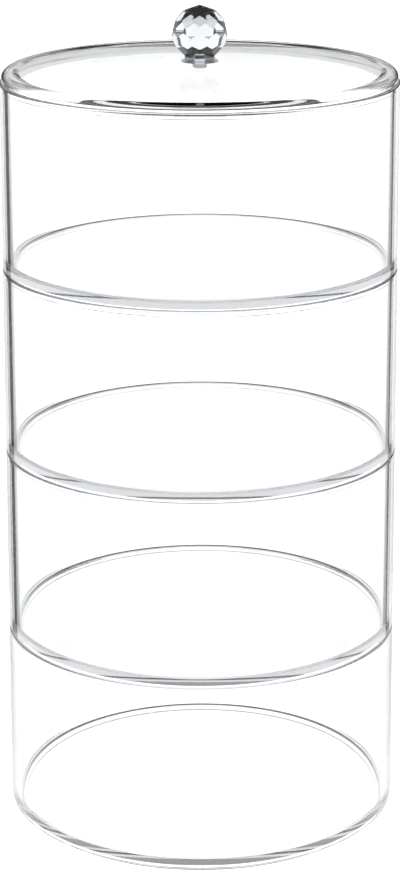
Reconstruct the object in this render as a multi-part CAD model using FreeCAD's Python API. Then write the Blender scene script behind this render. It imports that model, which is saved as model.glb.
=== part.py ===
import FreeCAD, Part
import math
import os

from FreeCAD import Vector

# Round clear organizer: four nesting trays, a lift-off lid and a cut crystal knob.
# Millimetres. Z is up on the axis of the stack, and z = 0 is the surface it stands on.

# Driving dimensions: the stack
tray_names = ["bottom_tray", "lower_middle_tray", "upper_middle_tray", "top_tray"]
outer_radius = 70.0
seat_gap = 0.05

# Driving dimensions: one tray
tray_height = 66.2
rim_land_width = 2.1
rim_shelf_width = 0.5
rim_seat_depth = 2.0
rim_seat_slope = 0.3
wall_draft = 0.5
floor_thickness = 2.4
floor_corner_round = 2.0
top_edge_round = 0.8
rim_lead_in_round = 0.25
bottom_edge_round = 0.6

# Driving dimensions: the ring under each tray and the lid that drops into the rim below
plug_clearance = 0.4
plug_width = 2.5
plug_depth = 1.6
plug_edge_round = 0.5
plug_root_round = 0.8

# Driving dimensions: the lid
lid_setback = 0.6
lid_rim_height = 3.45
lid_rim_round = 2.5
lid_lower_edge_round = 0.4
lid_rim_land_width = 1.8
lid_rim_slope_width = 1.7
lid_rim_step = 0.55
lid_crown_rise = 1.2
lid_panel_thickness = 2.0

# Driving dimensions: the knob
stem_peg_radius = 1.8
stem_neck_radius = 2.5
stem_neck_height = 1.85
stem_bore_clearance = 0.05
stem_edge_round = 0.3
glue_gap = 0.03
collar_radius = 5.25
collar_thickness = 1.7
collar_brim_radius = 6.5
collar_brim_thickness = 0.35
collar_edge_round = 0.3
crystal_cut_radius = 9.2
crystal_foot_drop = 8.35
crystal_bore_depth = 3.0
crystal_row_facets = 10
crystal_row_tilts = [70.0, 40.0, 14.0, -14.0, -42.0]

# Radii and heights that follow from them
rim_seat_radius = outer_radius - rim_land_width
wall_top_radius = rim_seat_radius - rim_shelf_width
wall_bottom_radius = wall_top_radius - wall_draft
plug_outer_radius = rim_seat_radius - plug_clearance
plug_inner_radius = plug_outer_radius - plug_width
tray_pitch = tray_height + seat_gap
lid_base = plug_depth + len(tray_names) * tray_pitch
lid_outer_radius = outer_radius - lid_setback
lid_land_inner_radius = lid_outer_radius - lid_rim_round - lid_rim_land_width
panel_edge_radius = lid_land_inner_radius - lid_rim_slope_width
panel_edge_top = lid_rim_height - lid_rim_step
panel_centre_top = panel_edge_top + lid_crown_rise
stem_bore_radius = stem_peg_radius + stem_bore_clearance
neck_bottom = lid_base + panel_centre_top + glue_gap
neck_top = neck_bottom + stem_neck_height
collar_bottom = neck_top + glue_gap
crystal_foot = collar_bottom + collar_thickness + glue_gap
crystal_centre = crystal_foot + crystal_foot_drop


def on_section(radius, height):
    """Point of the half section that is turned about the Z axis."""
    return Vector(radius, 0, height)


def rounded_corner(before, corner, after, size):
    """Start, middle and end of the arc of the given radius that rounds one corner."""
    to_before = (before - corner).normalize()
    to_after = (after - corner).normalize()
    half_angle = to_before.getAngle(to_after) / 2
    setback = size / math.tan(half_angle)
    start = corner + to_before * setback
    end = corner + to_after * setback
    inward = (to_before + to_after).normalize()
    middle = corner + inward * (size / math.sin(half_angle) - size)
    return start, middle, end


def rounded_path(corners):
    """Edges of an open path through (radius, height, rounding) corners."""
    points = [on_section(radius, height) for radius, height, rounding in corners]
    edges = []
    current = points[0]
    for index in range(1, len(corners) - 1):
        rounding = corners[index][2]
        if rounding == 0:
            edges.append(Part.makeLine(current, points[index]))
            current = points[index]
            continue
        start, middle, end = rounded_corner(
            points[index - 1], points[index], points[index + 1], rounding
        )
        if start.distanceToPoint(current) > 1e-6:
            edges.append(Part.makeLine(current, start))
        edges.append(Part.Arc(start, middle, end).toShape())
        current = end
    edges.append(Part.makeLine(current, points[-1]))
    return edges


def turned(edges):
    """Solid of revolution of a closed half section."""
    wire = Part.Wire(Part.__sortEdges__(edges))
    return Part.Face(wire).revolve(Vector(0, 0, 0), Vector(0, 0, 1), 360)


def closed_turning(corners):
    """Solid of revolution of a path that closes on itself or on the axis."""
    first = on_section(corners[0][0], corners[0][1])
    last = on_section(corners[-1][0], corners[-1][1])
    return turned(rounded_path(corners) + [Part.makeLine(last, first)])


def plug_corners(inner_top):
    """Ring under a floor or panel, from its inner root to its outer root."""
    return [
        (plug_inner_radius, inner_top, plug_root_round),
        (plug_inner_radius, -plug_depth, plug_edge_round),
        (plug_outer_radius, -plug_depth, plug_edge_round),
        (plug_outer_radius, 0, 0),
    ]


def make_tray():
    """Cup with a drafted wall, a stepped seat inside its rim and a ring under its floor."""
    seat_bottom = tray_height - rim_seat_depth
    corners = [(0, 0, 0)]
    corners += [(plug_inner_radius, 0, 0)]
    corners += plug_corners(0)[1:]
    corners += [
        (outer_radius, 0, bottom_edge_round),
        (outer_radius, tray_height, top_edge_round),
        (rim_seat_radius, tray_height, rim_lead_in_round),
        (rim_seat_radius, seat_bottom, 0),
        (wall_top_radius, seat_bottom - rim_seat_slope, 0),
        (wall_bottom_radius, floor_thickness, floor_corner_round),
        (0, floor_thickness, 0),
    ]
    return closed_turning(corners)


def crown_arc(edge_radius, edge_height, centre_height):
    """Shallow arc from the stem's bore out to the edge of the lid's panel."""
    rise = centre_height - edge_height
    sphere_radius = (edge_radius**2 + rise**2) / (2 * rise)

    def crown_height(radius):
        return centre_height - sphere_radius + math.sqrt(sphere_radius**2 - radius**2)

    radii = [stem_bore_radius, (stem_bore_radius + edge_radius) / 2, edge_radius]
    points = [on_section(radius, crown_height(radius)) for radius in radii]
    return Part.Arc(*points).toShape(), points[0]


def make_lid():
    """Low crowned panel inside a thick rounded rim, with the nesting ring below."""
    under_edge_radius = plug_inner_radius - plug_root_round
    under_edge = panel_edge_top - lid_panel_thickness
    under_centre = panel_centre_top - lid_panel_thickness
    under_arc, under_start = crown_arc(under_edge_radius, under_edge, under_centre)
    top_arc, top_start = crown_arc(panel_edge_radius, panel_edge_top, panel_centre_top)
    corners = [(under_edge_radius, under_edge, 0)]
    corners += plug_corners(under_edge)
    corners += [
        (lid_outer_radius, 0, lid_lower_edge_round),
        (lid_outer_radius, lid_rim_height, lid_rim_round),
        (lid_land_inner_radius, lid_rim_height, 0),
        (panel_edge_radius, panel_edge_top, 0),
    ]
    bore_wall = Part.makeLine(top_start, under_start)
    return turned([under_arc] + rounded_path(corners) + [top_arc, bore_wall])


def make_stem():
    """Stepped pin: its neck stands on the panel and carries the collar and the crystal."""
    peg_bottom = lid_base + panel_centre_top - lid_panel_thickness
    peg_top = crystal_foot + crystal_bore_depth - glue_gap
    return closed_turning([
        (0, peg_bottom, 0),
        (stem_peg_radius, peg_bottom, stem_edge_round),
        (stem_peg_radius, neck_bottom, 0),
        (stem_neck_radius, neck_bottom, 0),
        (stem_neck_radius, neck_top, 0),
        (stem_peg_radius, neck_top, 0),
        (stem_peg_radius, peg_top, stem_edge_round),
        (0, peg_top, 0),
    ])


def make_collar():
    """Clear disc with a thin brim at its foot, between the neck and the crystal."""
    collar_top = collar_bottom + collar_thickness
    brim_top = collar_bottom + collar_brim_thickness
    return closed_turning([
        (stem_bore_radius, collar_bottom, 0),
        (collar_brim_radius, collar_bottom, 0),
        (collar_brim_radius, brim_top, 0),
        (collar_radius, brim_top, 0),
        (collar_radius, collar_top, collar_edge_round),
        (stem_bore_radius, collar_top, 0),
    ])


def facet_cutter(tilt, turn):
    """Block outside one facet's plane, which is tangent to the crystal's cut radius."""
    size = 4 * crystal_cut_radius
    block = Part.makeBox(size, size, size, Vector(crystal_cut_radius, -size / 2, -size / 2))
    block.rotate(Vector(0, 0, 0), Vector(0, 1, 0), -tilt)
    block.rotate(Vector(0, 0, 0), Vector(0, 0, 1), turn)
    return block


def make_crystal():
    """Ball cut into staggered rows of flat facets, with a flat foot and a blind bore."""
    reach = 1.5 * crystal_cut_radius
    rough = Part.makeBox(2 * reach, 2 * reach, reach + crystal_foot_drop,
                         Vector(-reach, -reach, -crystal_foot_drop))
    step = 360.0 / crystal_row_facets
    for row, tilt in enumerate(crystal_row_tilts):
        stagger = step / 2 if row % 2 else 0
        for index in range(crystal_row_facets):
            rough = rough.cut(facet_cutter(tilt, index * step + stagger))
    bore = Part.makeCylinder(stem_bore_radius, crystal_bore_depth, Vector(0, 0, -crystal_foot_drop))
    crystal = rough.cut(bore)
    crystal.translate(Vector(0, 0, crystal_centre))
    return crystal


def build_parts():
    """Each sub-part's name with its solid in place."""
    parts = {}
    tray = make_tray()
    for tier, name in enumerate(tray_names):
        parts[name] = tray.copy()
        parts[name].translate(Vector(0, 0, plug_depth + tier * tray_pitch))
    parts["lid"] = make_lid()
    parts["lid"].translate(Vector(0, 0, lid_base))
    parts["knob_stem"] = make_stem()
    parts["knob_collar"] = make_collar()
    parts["knob_crystal"] = make_crystal()
    return parts


os.makedirs("parts", exist_ok=True)
for name, shape in build_parts().items():
    solid = shape.Solids[0] if len(shape.Solids) == 1 else shape
    solid.exportStep("parts/" + name + ".step")
    box = solid.BoundBox
    print(name, "valid" if solid.isValid() else "broken", len(solid.Faces), "faces",
          "z %.2f to %.2f" % (box.ZMin, box.ZMax), "volume %.0f" % solid.Volume)
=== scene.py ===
# %% [markdown]
# # Round clear trays, a lid and a cut crystal knob
#
# The object is a stack of equal round trays moulded in clear acrylic. Each one has a ring
# under its floor that drops into the stepped rim of the tray below. A lid with a thick
# rounded rim closes the stack, and a clear ball cut into facets is its handle.
#
# Clear plastic has no colour of its own to paint. What the eye reads is its edges: the dark
# and bright lines where the walls bend the light. So this lesson spends its effort on exact
# sections, on polished surfaces without facets, and on a studio that the edges can show.

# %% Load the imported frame
import math
import bpy
import numpy as np
from mathutils import Matrix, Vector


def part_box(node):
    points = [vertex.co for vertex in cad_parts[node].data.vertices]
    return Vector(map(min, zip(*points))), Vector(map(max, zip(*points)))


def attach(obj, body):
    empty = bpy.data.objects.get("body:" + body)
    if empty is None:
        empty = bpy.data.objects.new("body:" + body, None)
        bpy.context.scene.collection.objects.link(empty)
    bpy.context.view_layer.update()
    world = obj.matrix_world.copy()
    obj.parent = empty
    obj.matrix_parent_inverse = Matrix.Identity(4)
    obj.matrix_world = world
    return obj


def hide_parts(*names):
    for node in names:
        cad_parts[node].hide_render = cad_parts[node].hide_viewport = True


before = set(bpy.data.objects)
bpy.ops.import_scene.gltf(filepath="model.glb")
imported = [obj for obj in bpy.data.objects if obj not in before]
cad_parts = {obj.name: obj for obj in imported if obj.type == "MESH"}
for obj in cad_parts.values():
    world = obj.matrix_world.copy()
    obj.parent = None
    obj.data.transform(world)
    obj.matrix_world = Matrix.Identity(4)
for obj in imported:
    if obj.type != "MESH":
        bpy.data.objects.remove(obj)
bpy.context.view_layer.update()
mm = 0.001
print("pieces:", sorted(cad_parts))

# %% [markdown]
# ## The camera
#
# The photograph was taken from a little above the lid, looking slightly down, with the
# picture's frame shifted down so that the walls stay nearly upright. Blender's lens shift
# does the same as a view camera's sliding back. The photograph's full shift would push the
# object out of the frame when the camera walks round it, so this camera keeps less than
# half of it, and place, tilt and lens were fitted again to the photograph's outlines.
#
# The focal length and the picture's centre are in pixels, the sensor is in mm, and pitch
# and roll are in radians.

# %% Set up the camera
IMAGE_WIDTH = 400
IMAGE_HEIGHT = 883
SENSOR = 36.0
focal_pixels = 2603.0
camera_distance = 898.9 * mm
camera_height = 418.8 * mm
camera_side = 1.04 * mm
camera_pitch = 0.2124
camera_roll = -0.0020
picture_centre = (203.0, 194.3)

camera = bpy.data.cameras.new("photo_camera")
camera_object = bpy.data.objects.new("photo_camera", camera)
bpy.context.scene.collection.objects.link(camera_object)
camera_object.matrix_world = (
    Matrix.Translation((camera_side, -camera_distance, camera_height))
    @ Matrix.Rotation(math.pi / 2 - camera_pitch, 4, "X")
    @ Matrix.Rotation(camera_roll, 4, "Z")
)
camera.sensor_width = SENSOR
camera.lens = focal_pixels / IMAGE_HEIGHT * SENSOR
camera.shift_x = (IMAGE_WIDTH / 2 - picture_centre[0]) / IMAGE_HEIGHT
camera.shift_y = (picture_centre[1] - IMAGE_HEIGHT / 2) / IMAGE_HEIGHT
camera.clip_start = 0.01
camera.clip_end = 50.0
bpy.context.scene.camera = camera_object
print("lens", round(camera.lens, 1), "mm, shift", round(camera.shift_x, 3), round(camera.shift_y, 3))

# %% [markdown]
# ## Sections with rounded corners
#
# Every round piece is a section turned about the axis of the stack. A section is drawn as
# its corners, each with the radius of the arc that rounds it, because that is how a mould
# is drawn: the corner positions set the size, and the radii set how the edge catches light.
#
# Smooth shading blends the directions of neighbouring faces. Without help an arc would bend
# the shading of the whole straight wall beside it, and a clear wall shows that as a grey
# haze. So each arc holds on to its straight sides with a very short run at both ends, HOLD
# in mm.

# %% Round the corners of a section
ARC_STEPS = 24
HOLD = 0.03


def corner_arc(before, corner, after, radius):
    """Points on the arc that touches both sides of a corner, and one just past each end.

    The arc's centre lies on the corner's bisector, radius / sin(half angle) from it, and
    the arc runs from one touching point to the other as the angle turns evenly."""
    to_before = (before - corner) / np.linalg.norm(before - corner)
    to_after = (after - corner) / np.linalg.norm(after - corner)
    half = math.acos(np.clip(to_before @ to_after, -1, 1)) / 2
    bisector = (to_before + to_after) / np.linalg.norm(to_before + to_after)
    centre = corner + bisector * radius / math.sin(half)
    start = corner + to_before * radius / math.tan(half) - centre
    end = corner + to_after * radius / math.tan(half) - centre
    turn = math.pi - 2 * half
    share = np.linspace(0, 1, ARC_STEPS + 1)[:, None]
    blend = (np.sin((1 - share) * turn) * start + np.sin(share * turn) * end) / math.sin(turn)
    arc = centre + blend
    return np.concatenate([[arc[0] + to_before * HOLD], arc, [arc[-1] + to_after * HOLD]])


def section(corners):
    """Section points in mm from (radius, height, rounding) corners; rounding 0 stays sharp."""
    points = [np.array(corner[:2], float) for corner in corners]
    rows = [points[0][None]]
    for i in range(1, len(corners) - 1):
        rounding = corners[i][2]
        if rounding == 0:
            rows.append(points[i][None])
        else:
            rows.append(corner_arc(points[i - 1], points[i], points[i + 1], rounding))
    rows.append(points[-1][None])
    return np.concatenate(rows)


print("points on a rounded corner:", ARC_STEPS + 3)

# %% [markdown]
# ## Turning a section
#
# A turned surface is a grid of two parameters: the place along the section and the angle
# about the axis. Points of the section that lie on the axis become one vertex with a fan of
# triangles, so the pole is closed. Polished clear plastic shows every flat in a circle, so
# the angle takes many small steps and the shading is smooth except at real edges.

# %% Turn a section into a solid
TURN_STEPS = 480
SHARP_EDGE = math.radians(10)
ON_AXIS = 1e-6


def turned(name, points, low=0.0):
    """Solid of revolution: radius * (cos, sin) of the turn angle, and height + low, in mm.

    The section may start and end on the axis, or close on itself as a ring does."""
    poles = points[0, 0] < ON_AXIS
    rings = points[1:-1] if poles else points
    angle = np.linspace(0, 2 * np.pi, TURN_STEPS, endpoint=False)
    radius, height = rings[:, :1], rings[:, 1:]
    grid = np.stack([radius * np.cos(angle), radius * np.sin(angle), height + 0 * angle], axis=2)
    vertices = grid.reshape(-1, 3)
    index = np.arange(len(rings) * TURN_STEPS).reshape(len(rings), TURN_STEPS)
    lower, upper = (index[:-1], index[1:]) if poles else (index, np.roll(index, -1, axis=0))
    quads = np.stack([lower, np.roll(lower, -1, 1), np.roll(upper, -1, 1), upper], axis=2)
    faces = quads.reshape(-1, 4).tolist()
    if poles:
        first, last = len(vertices), len(vertices) + 1
        vertices = np.concatenate([vertices, [[0, 0, points[0, 1]], [0, 0, points[-1, 1]]]])
        start, end = index[0], index[-1]
        bottom_fan = np.stack([np.full(TURN_STEPS, first), np.roll(start, -1), start], axis=1)
        top_fan = np.stack([np.full(TURN_STEPS, last), end, np.roll(end, -1)], axis=1)
        faces += bottom_fan.tolist() + top_fan.tolist()
    vertices = (vertices + [0, 0, low]) * mm
    mesh = bpy.data.meshes.new(name)
    mesh.from_pydata(vertices.tolist(), [], faces)
    mesh.polygons.foreach_set("use_smooth", np.ones(len(mesh.polygons), bool))
    mesh.set_sharp_from_angle(angle=SHARP_EDGE)
    piece = bpy.data.objects.new(name, mesh)
    bpy.context.scene.collection.objects.link(piece)
    return piece


def dress(piece, node, body, material):
    """A finished piece takes its material, stands for its CAD node and rides on its body."""
    piece.data.materials.append(material)
    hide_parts(node)
    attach(piece, body)
    print(piece.name, len(piece.data.vertices), "vertices, rides on", body)


print("steps round the axis:", TURN_STEPS)

# %% [markdown]
# ## Clear moulded acrylic
#
# PMMA, the clear acrylic of boxes and trays, bends light with an index of 1.49 and is
# polished as it leaves the mould. A moulding is never quite flat: the skin has slow waves a
# few centimetres long from the flow of the melt. They are far too small to see by
# themselves, but they keep the long edges from looking drawn with a ruler.
#
# The knob is clear plastic too, cut and polished face by face. A slightly higher index and
# a deeper tone give its facets their contrast, and its waves are shorter and shallower.

# %% Make the clear materials
DEPTH_TINT = "002745"


def linear(hex_colour):
    """Linear colour of an sRGB hex value such as "F4F7FA"."""
    srgb = np.array([int(hex_colour[i : i + 2], 16) for i in (0, 2, 4)]) / 255
    return (*np.where(srgb <= 0.04045, srgb / 12.92, ((srgb + 0.055) / 1.055) ** 2.4), 1.0)


def add_node(tree, kind, inputs=None, links=None, **settings):
    """Add one shader node with its settings, input values and incoming links."""
    node = tree.nodes.new(kind)
    for key, value in settings.items():
        setattr(node, key, value)
    for key, value in (inputs or {}).items():
        node.inputs[key].default_value = value
    for key, socket in (links or {}).items():
        tree.links.new(socket, node.inputs[key])
    return node


def clear_plastic(name, tint, index, roughness, absorption, wave_length, wave_depth):
    """Polished clear plastic with slow waves of the skin, their length and depth in mm.

    Light fades as exp(-absorption * path in m), a little less in blue: wide faces stay
    clear, and only long ways along a wall, a floor or through the ball turn grey."""
    material = bpy.data.materials.new(name)
    material.use_nodes = True
    tree = material.node_tree
    shader = tree.nodes["Principled BSDF"]
    shader.inputs["Base Color"].default_value = linear(tint)
    shader.inputs["Roughness"].default_value = roughness
    shader.inputs["IOR"].default_value = index
    shader.inputs["Transmission Weight"].default_value = 1.0
    coordinates = add_node(tree, "ShaderNodeTexCoord")
    waves = add_node(
        tree, "ShaderNodeTexNoise",
        {"Scale": 1 / (wave_length * mm), "Detail": 1.0, "Roughness": 0.4},
        {"Vector": coordinates.outputs["Object"]},
    )
    bump = add_node(
        tree, "ShaderNodeBump", {"Strength": 1.0, "Distance": wave_depth * mm},
        {"Height": waves.outputs["Fac"]},
    )
    tree.links.new(bump.outputs["Normal"], shader.inputs["Normal"])
    depth = add_node(
        tree, "ShaderNodeVolumeAbsorption",
        {"Density": absorption, "Color": linear(DEPTH_TINT)},
    )
    tree.links.new(depth.outputs["Volume"], tree.nodes["Material Output"].inputs["Volume"])
    return material


acrylic = clear_plastic(
    "moulded_clear_acrylic", tint="FCFDFE", index=1.49, roughness=0.0,
    absorption=3.5, wave_length=34.0, wave_depth=0.012,
)
crystal_acrylic = clear_plastic(
    "facet_cut_crystal_acrylic", tint="F8F9FC", index=1.53, roughness=0.0,
    absorption=18.0, wave_length=9.0, wave_depth=0.004,
)
print("materials:", acrylic.name, crystal_acrylic.name)

# %% [markdown]
# ## The trays
#
# All four trays are the same moulding. The wall is drafted, thinner at the rim than at the
# floor, so that the tray leaves its mould. Inside the rim a shallow step takes the ring
# under the next tray, and the corner between wall and floor is rounded. Outer radius and
# place come from the frame, so the visible piece always fits the solid it stands for. The
# other lengths are in mm.

# %% Draw the tray's section and turn the trays
TRAY_BODIES = {
    "bottom_tray": "bottom",
    "lower_middle_tray": "lower_middle",
    "upper_middle_tray": "upper_middle",
    "top_tray": "top",
}
plug_inner = 65.0
plug_outer = 67.5
plug_depth = 1.6
plug_edge_round = 0.5
rim_seat_radius = 67.9
rim_seat_depth = 2.0
rim_seat_slope = 0.3
rim_lead_in_round = 0.25
top_edge_round = 0.8
bottom_edge_round = 0.6
wall_inner_top = 67.4
wall_inner_bottom = 66.9
floor_top = 2.4
floor_corner_round = 2.0


def tray_section(outer, height):
    """Half section of one tray from the middle of its underside to the middle of its floor."""
    seat = height - rim_seat_depth
    return section([
        (0, 0, 0),
        (plug_inner, 0, 0),
        (plug_inner, -plug_depth, plug_edge_round),
        (plug_outer, -plug_depth, plug_edge_round),
        (plug_outer, 0, 0),
        (outer, 0, bottom_edge_round),
        (outer, height, top_edge_round),
        (rim_seat_radius, height, rim_lead_in_round),
        (rim_seat_radius, seat, 0),
        (wall_inner_top, seat - rim_seat_slope, 0),
        (wall_inner_bottom, floor_top, floor_corner_round),
        (0, floor_top, 0),
    ])


for node, body in TRAY_BODIES.items():
    low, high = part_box(node)
    outer = high.x / mm
    height = (high.z - low.z) / mm - plug_depth
    tray = turned(node + "_clear", tray_section(outer, height), low.z / mm + plug_depth)
    dress(tray, node, body, acrylic)

# %% [markdown]
# ## The lid
#
# The lid's rim is a solid band with a large outer rounding and a flat land on top, a little
# narrower than the trays. Inside it the panel lies slightly lower and rises in a very
# shallow crown towards the knob, so it doesn't sag and water runs off it.

# %% Draw the lid's section and turn the lid
lid_low, lid_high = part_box("lid")
lid_outer = lid_high.x / mm
lid_base = lid_low.z / mm + plug_depth
plug_root_round = 0.8
lid_lower_edge_round = 0.4
rim_height = 3.45
rim_round = 2.5
rim_land_inner = 65.1
panel_edge_radius = 63.4
panel_edge_height = 2.9
panel_thickness = 2.0
crown_rise = 1.2
bore_radius = 1.85


def crown(edge_radius, edge_height, count=32):
    """Crown of the panel: height falls from the centre as the square of radius / edge radius."""
    radius = np.append(np.linspace(bore_radius, edge_radius - HOLD, count), edge_radius)
    height = edge_height + crown_rise * (1 - (radius / edge_radius) ** 2)
    return np.stack([radius, height], axis=1)


def lid_section():
    """Closed section of the lid: crowned underside, nesting ring, rim, and crowned top.

    The rim's section starts with its corner, the run before the first arc and that arc's
    first point. The underside already ends there, so these three points are left out."""
    underside_edge = plug_inner - plug_root_round
    underside_height = panel_edge_height - panel_thickness
    under = crown(underside_edge, underside_height)
    rim = section([
        (underside_edge, underside_height, 0),
        (plug_inner, underside_height, plug_root_round),
        (plug_inner, -plug_depth, plug_edge_round),
        (plug_outer, -plug_depth, plug_edge_round),
        (plug_outer, 0, 0),
        (lid_outer, 0, lid_lower_edge_round),
        (lid_outer, rim_height, rim_round),
        (rim_land_inner, rim_height, 0),
        (panel_edge_radius, panel_edge_height, 0),
    ])
    top = crown(panel_edge_radius, panel_edge_height)[::-1]
    return np.concatenate([under, rim[3:], top[1:]])


lid = turned("lid_clear", lid_section(), lid_base)
dress(lid, "lid", "lid", acrylic)

# %% [markdown]
# ## The knob
#
# The ball is cut into staggered rows of flat facets. Its solid already has exact facets,
# so the CAD piece stays and only gets the crystal material. The collar and the stepped
# stem are turned again here, because their circles are small and show their steps. Between
# the pieces lies the thin gap of the glue.

# %% Turn the collar
collar_low, collar_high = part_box("knob_collar")
collar_bottom = collar_low.z / mm
collar_radius = 5.25
brim_thickness = 0.35
knob_edge_round = 0.3

collar = turned("knob_collar_clear", section([
    (bore_radius, collar_bottom, 0),
    (collar_high.x / mm, collar_bottom, 0),
    (collar_high.x / mm, collar_bottom + brim_thickness, 0),
    (collar_radius, collar_bottom + brim_thickness, 0),
    (collar_radius, collar_high.z / mm, knob_edge_round),
    (bore_radius, collar_high.z / mm, 0),
]))
dress(collar, "knob_collar", "lid", crystal_acrylic)

# %% Turn the stem and give the ball its material
stem_low, stem_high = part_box("knob_stem")
glue_gap = 0.03
neck_height = 1.85
neck_radius = 2.5
peg_radius = 1.8
neck_top = collar_bottom - glue_gap
neck_bottom = neck_top - neck_height

stem = turned("knob_stem_clear", section([
    (0, stem_low.z / mm, 0),
    (peg_radius, stem_low.z / mm, knob_edge_round),
    (peg_radius, neck_bottom, 0),
    (neck_radius, neck_bottom, 0),
    (neck_radius, neck_top, 0),
    (peg_radius, neck_top, 0),
    (peg_radius, stem_high.z / mm, knob_edge_round),
    (0, stem_high.z / mm, 0),
]))
dress(stem, "knob_stem", "lid", crystal_acrylic)

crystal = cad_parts["knob_crystal"]
crystal.data.materials.clear()
crystal.data.materials.append(crystal_acrylic)
print("crystal facets stay from the CAD:", len(crystal.data.polygons), "triangles")

# %% [markdown]
# ## The studio's lights
#
# Clear objects are photographed in bright field: a white floor and a white wall of light
# all round, bright enough that plastic in front of them stays pure white. The outline comes
# from rays that are mirrored inside a wall or a rim. They leave it at odd angles, and dark
# cards close to the stack wait for them there. That is what draws the thin dark lines.
#
# A light path node knows how often a ray was mirrored. The lights use this count to stay
# strongest straight through, as in a picture exposed for a clean white ground.

# %% Make the lights
def counted(tree, kind, least, most):
    """1 for rays whose number of bounces of one kind lies from least to most, else 0."""
    path = add_node(tree, "ShaderNodeLightPath")
    middle = (least + most) / 2
    margin = (most - least) / 2 + 0.5
    inside = add_node(
        tree, "ShaderNodeMath", {1: middle, 2: margin}, {0: path.outputs[kind]},
        operation="COMPARE",
    )
    return inside.outputs["Value"]


def emission(name, strength):
    """New white emission material; returns the material, its tree and the glow node."""
    material = bpy.data.materials.new(name)
    material.use_nodes = True
    tree = material.node_tree
    tree.nodes.clear()
    glow = add_node(tree, "ShaderNodeEmission", {"Strength": strength})
    add_node(tree, "ShaderNodeOutputMaterial", None, {"Surface": glow.outputs["Emission"]})
    return material, tree, glow


def white_light(name, straight, once, inside):
    """Light of strength straight for 0 mirrors, inside for 2 to 6 mirrors, and once for others.

    It is once + (straight - once) * [0 mirrors] + (inside - once) * [2 to 6 mirrors]."""
    material, tree, glow = emission(name, once)
    unmirrored = add_node(
        tree, "ShaderNodeMath", {1: straight - once, 2: once},
        {0: counted(tree, "Glossy Depth", 0, 0)}, operation="MULTIPLY_ADD",
    )
    strength = add_node(
        tree, "ShaderNodeMath", {1: inside - once},
        {0: counted(tree, "Glossy Depth", 2, 6), 2: unmirrored.outputs["Value"]},
        operation="MULTIPLY_ADD",
    )
    tree.links.new(strength.outputs["Value"], glow.inputs["Strength"])
    return material


bright = white_light("bright_white", straight=1.45, once=1.2, inside=0.7)
upper_light = emission("upper_white", 0.5)[0]
print("lights:", bright.name, upper_light.name)

# %% [markdown]
# ## Cards
#
# Real cards are kept out of the picture by moving them about. Here the same node does it:
# a card shows itself only to rays with the right counts. They were mirrored a set number of
# times, mostly once or twice, have passed through so many skins of plastic, and met the
# last of them not too far away. All other rays go through, so a card never shows behind the
# plastic. A veil works the other way round and adds light to the rays that meet it.

# %% Make the cards and the veil
def met(tree, mirrors, passes, reach):
    """1 for rays with these counts of mirrors and skins and a last leg under reach in m."""
    leg = add_node(tree, "ShaderNodeLightPath").outputs["Ray Length"]
    near = add_node(tree, "ShaderNodeMath", {1: reach}, {0: leg}, operation="LESS_THAN")
    share = near.outputs["Value"]
    for kind, limits in (("Glossy Depth", mirrors), ("Transmission Depth", passes)):
        both = add_node(
            tree, "ShaderNodeMath", None, {0: share, 1: counted(tree, kind, *limits)},
            operation="MULTIPLY",
        )
        share = both.outputs["Value"]
    return share


def card(name, strength, mirrors, passes, reach=10.0):
    """Card for the rays that meet it by their counts; all others go through."""
    material, tree, glow = emission(name, strength)
    clear = add_node(tree, "ShaderNodeBsdfTransparent")
    mix = add_node(
        tree, "ShaderNodeMixShader", None,
        {
            0: met(tree, mirrors, passes, reach),
            1: clear.outputs["BSDF"],
            2: glow.outputs["Emission"],
        },
    )
    tree.links.new(mix.outputs["Shader"], tree.nodes["Material Output"].inputs["Surface"])
    return material


def veil(name, strength, mirrors, passes, reach):
    """Clear veil that adds a little white light to the rays that meet it by their counts."""
    material, tree, glow = emission(name, strength)
    lit = add_node(
        tree, "ShaderNodeMath", {1: strength}, {0: met(tree, mirrors, passes, reach)},
        operation="MULTIPLY",
    )
    tree.links.new(lit.outputs["Value"], glow.inputs["Strength"])
    clear = add_node(tree, "ShaderNodeBsdfTransparent")
    both = add_node(
        tree, "ShaderNodeAddShader", None,
        {0: clear.outputs["BSDF"], 1: glow.outputs["Emission"]},
    )
    tree.links.new(both.outputs["Shader"], tree.nodes["Material Output"].inputs["Surface"])
    return material


black_card = card("black_card", 0.0, mirrors=(1, 2), passes=(0, 3))
inner_card = card("inner_card", 0.0, mirrors=(1, 2), passes=(1, 3))
grey_card = card("grey_card", 0.06, mirrors=(1, 2), passes=(0, 3))
soft_card = card("soft_card", 0.6, mirrors=(1, 2), passes=(0, 3))
knob_side_card = card("knob_side_card", 0.0, mirrors=(1, 2), passes=(2, 4), reach=0.135)
# Painted shade for the knob: a dim card met only by rays that come out of the knob and the lid.
knob_floor_card = card("knob_floor_card", 0.04, mirrors=(0, 1), passes=(4, 12), reach=0.015)
panel_glare = veil("panel_glare_white", 0.8, mirrors=(0, 0), passes=(2, 2), reach=0.040)
print("cards:", [material.name for material in bpy.data.materials if "card" in material.name])

# %% [markdown]
# ## Shapes of the studio
#
# Everything that stands upright is part of a cylinder about the stack, and everything flat
# is a disc. Both belong to the picture and not to the object. The camera itself sees only
# the floor.

# %% Helpers for upright strips and discs
FAR_STEPS = 144
NEAR_STEPS = 96
CARD_STEPS = 12


def place(name, vertices, faces, material, seen=False):
    """Stage object from vertices in m; the camera sees it only where asked."""
    mesh = bpy.data.meshes.new(name)
    mesh.from_pydata(vertices.tolist(), [], faces.tolist())
    mesh.materials.append(material)
    thing = bpy.data.objects.new(name, mesh)
    bpy.context.scene.collection.objects.link(thing)
    thing.visible_camera = seen
    print("stage:", name)


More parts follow.
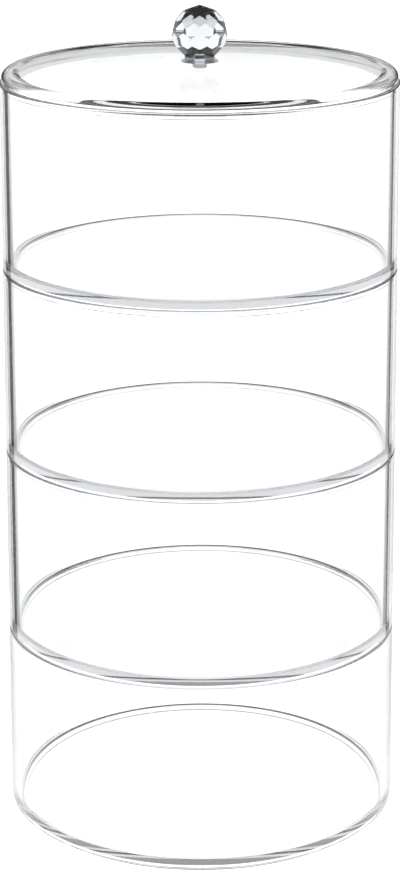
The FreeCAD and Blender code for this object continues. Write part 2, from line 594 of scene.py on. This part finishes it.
def strips(name, radius, low, high, material, steps, centres=(0.0,), half_width=180.0):
    """Strips of a cylinder: (r sin a, r cos a), a in degrees from behind, low to high in m.

    Each strip reaches half_width to both sides of its centre; one of 180 goes all round."""
    spread = np.linspace(-1, 1, steps + 1)
    turn = np.radians(np.array(centres)[:, None] + half_width * spread)
    foot = np.stack([radius * np.sin(turn), radius * np.cos(turn), np.full_like(turn, low)], axis=2)
    head = foot + [0, 0, high - low]
    index = np.arange(turn.size).reshape(turn.shape)
    lower, following = index[:, :-1], index[:, 1:]
    quads = np.stack([lower, following, following + turn.size, lower + turn.size], axis=2)
    vertices = np.concatenate([foot.reshape(-1, 3), head.reshape(-1, 3)])
    place(name, vertices, quads.reshape(-1, 4), material)


def flat_disc(name, radius, height, material, seen=False):
    """Level disc (r cos a, r sin a, height), facing up."""
    turn = np.linspace(0, 2 * np.pi, NEAR_STEPS, endpoint=False)
    level = np.full(NEAR_STEPS, height)
    rim = np.stack([radius * np.cos(turn), radius * np.sin(turn), level], axis=1)
    place(name, rim, np.arange(NEAR_STEPS)[None], material, seen)


# %% [markdown]
# ## Floor and wall of light
#
# The floor and the lower wall are bright, and the wall is weaker further up. In front of it
# a low black band darkens what the rims see along the horizon, and a grey one above that
# gives the far side of the lid's rim its pale tone. All lengths are in metres.

# %% Set up the floor, the walls and the bands
floor_radius = 4.0
floor_height = -0.0005
wall_radius = 2.0
wall_top = 0.88
upper_wall_top = 1.3
band_radius = 1.9
black_band_top = 0.45
soft_band_top = 0.62

flat_disc("floor", floor_radius, floor_height, bright, seen=True)
strips("wall_of_light", wall_radius, 0.0, wall_top, bright, FAR_STEPS)
strips("upper_wall", wall_radius, wall_top, upper_wall_top, upper_light, FAR_STEPS)
strips("horizon_band", band_radius, 0.0, black_band_top, black_card, FAR_STEPS)
strips("soft_band", band_radius, black_band_top, soft_band_top, soft_card, FAR_STEPS)

# %% [markdown]
# ## Cards round the stack
#
# The upright cards come close, a tenth of a metre and a bit from the axis, and end below
# the lid's panel so that the panel stays clean. The two at the sides draw the walls'
# outlines: the right one is narrower and not quite black, as in the photograph.
#
# The knob's collar has dark outlines there and its upper facets are dark. A band of card
# above the others gives the first. The second is painted shade: a small dark disc under the
# lid, met only by rays out of the knob. The panel is a clean white in the photograph, so a
# veil under it adds a little glare. Disc and veil lie inside the stack's outline, but they
# belong to the light and not to the object.

# %% Set up the cards, the dark disc and the veil
card_radius = 0.1206
card_low = 0.034
card_high = 0.262
side_angle = 65.5
left_half_width = 5.5
right_half_width = 4.0
other_angles = [22.5 + 45 * k for k in (0, 2, 3, 4, 5, 7)]
other_half_width = 5.5
collar_band_low = 0.2640
collar_band_high = 0.3090
knob_shade_disc_radius = 0.030
knob_shade_disc_drop = 0.002
veil_radius = 0.063
veil_drop = 0.001

strips(
    "left_card", card_radius, card_low, card_high, black_card, CARD_STEPS,
    [-side_angle], left_half_width,
)
strips(
    "right_card", card_radius, card_low, card_high, grey_card, CARD_STEPS,
    [side_angle], right_half_width,
)
strips(
    "other_cards", card_radius, card_low, card_high, inner_card, CARD_STEPS,
    other_angles, other_half_width,
)
strips("collar_band", card_radius, collar_band_low, collar_band_high, knob_side_card, NEAR_STEPS)
# Painted shade: a dark disc just under the lid darkens the knob's facets.
flat_disc("knob_shade_disc", knob_shade_disc_radius, lid_low.z - knob_shade_disc_drop, knob_floor_card)
flat_disc("glare_disc", veil_radius, lid_low.z - veil_drop, panel_glare)
print("cards at", [-side_angle, side_angle] + other_angles, "degrees from behind")

# %% [markdown]
# ## Surround and light paths
#
# The room above the wall of light is dark for the plastic and white for the camera. Light
# is mirrored some twenty times on its way through a solid floor before it comes out at the
# edge, so the paths must be long: with short ones every edge would turn black. The plain
# view transform keeps pure white at pure white.

# %% Set the surround, the light paths and the view
room_for_camera = 1.0
room_for_plastic = 0.04

world = bpy.data.worlds.new("studio_surround")
bpy.context.scene.world = world
world.use_nodes = True
background = world.node_tree.nodes["Background"]
background.inputs["Color"].default_value = (1, 1, 1, 1)
camera_ray = add_node(world.node_tree, "ShaderNodeLightPath").outputs["Is Camera Ray"]
room = add_node(
    world.node_tree, "ShaderNodeMath",
    {1: room_for_camera - room_for_plastic, 2: room_for_plastic},
    {0: camera_ray}, operation="MULTIPLY_ADD",
)
world.node_tree.links.new(room.outputs["Value"], background.inputs["Strength"])

cycles = bpy.context.scene.cycles
cycles.max_bounces = 48
cycles.transmission_bounces = 48
cycles.glossy_bounces = 32
cycles.transparent_max_bounces = 64
bpy.context.scene.view_settings.view_transform = "Standard"
print("longest light path:", cycles.max_bounces, "bounces")
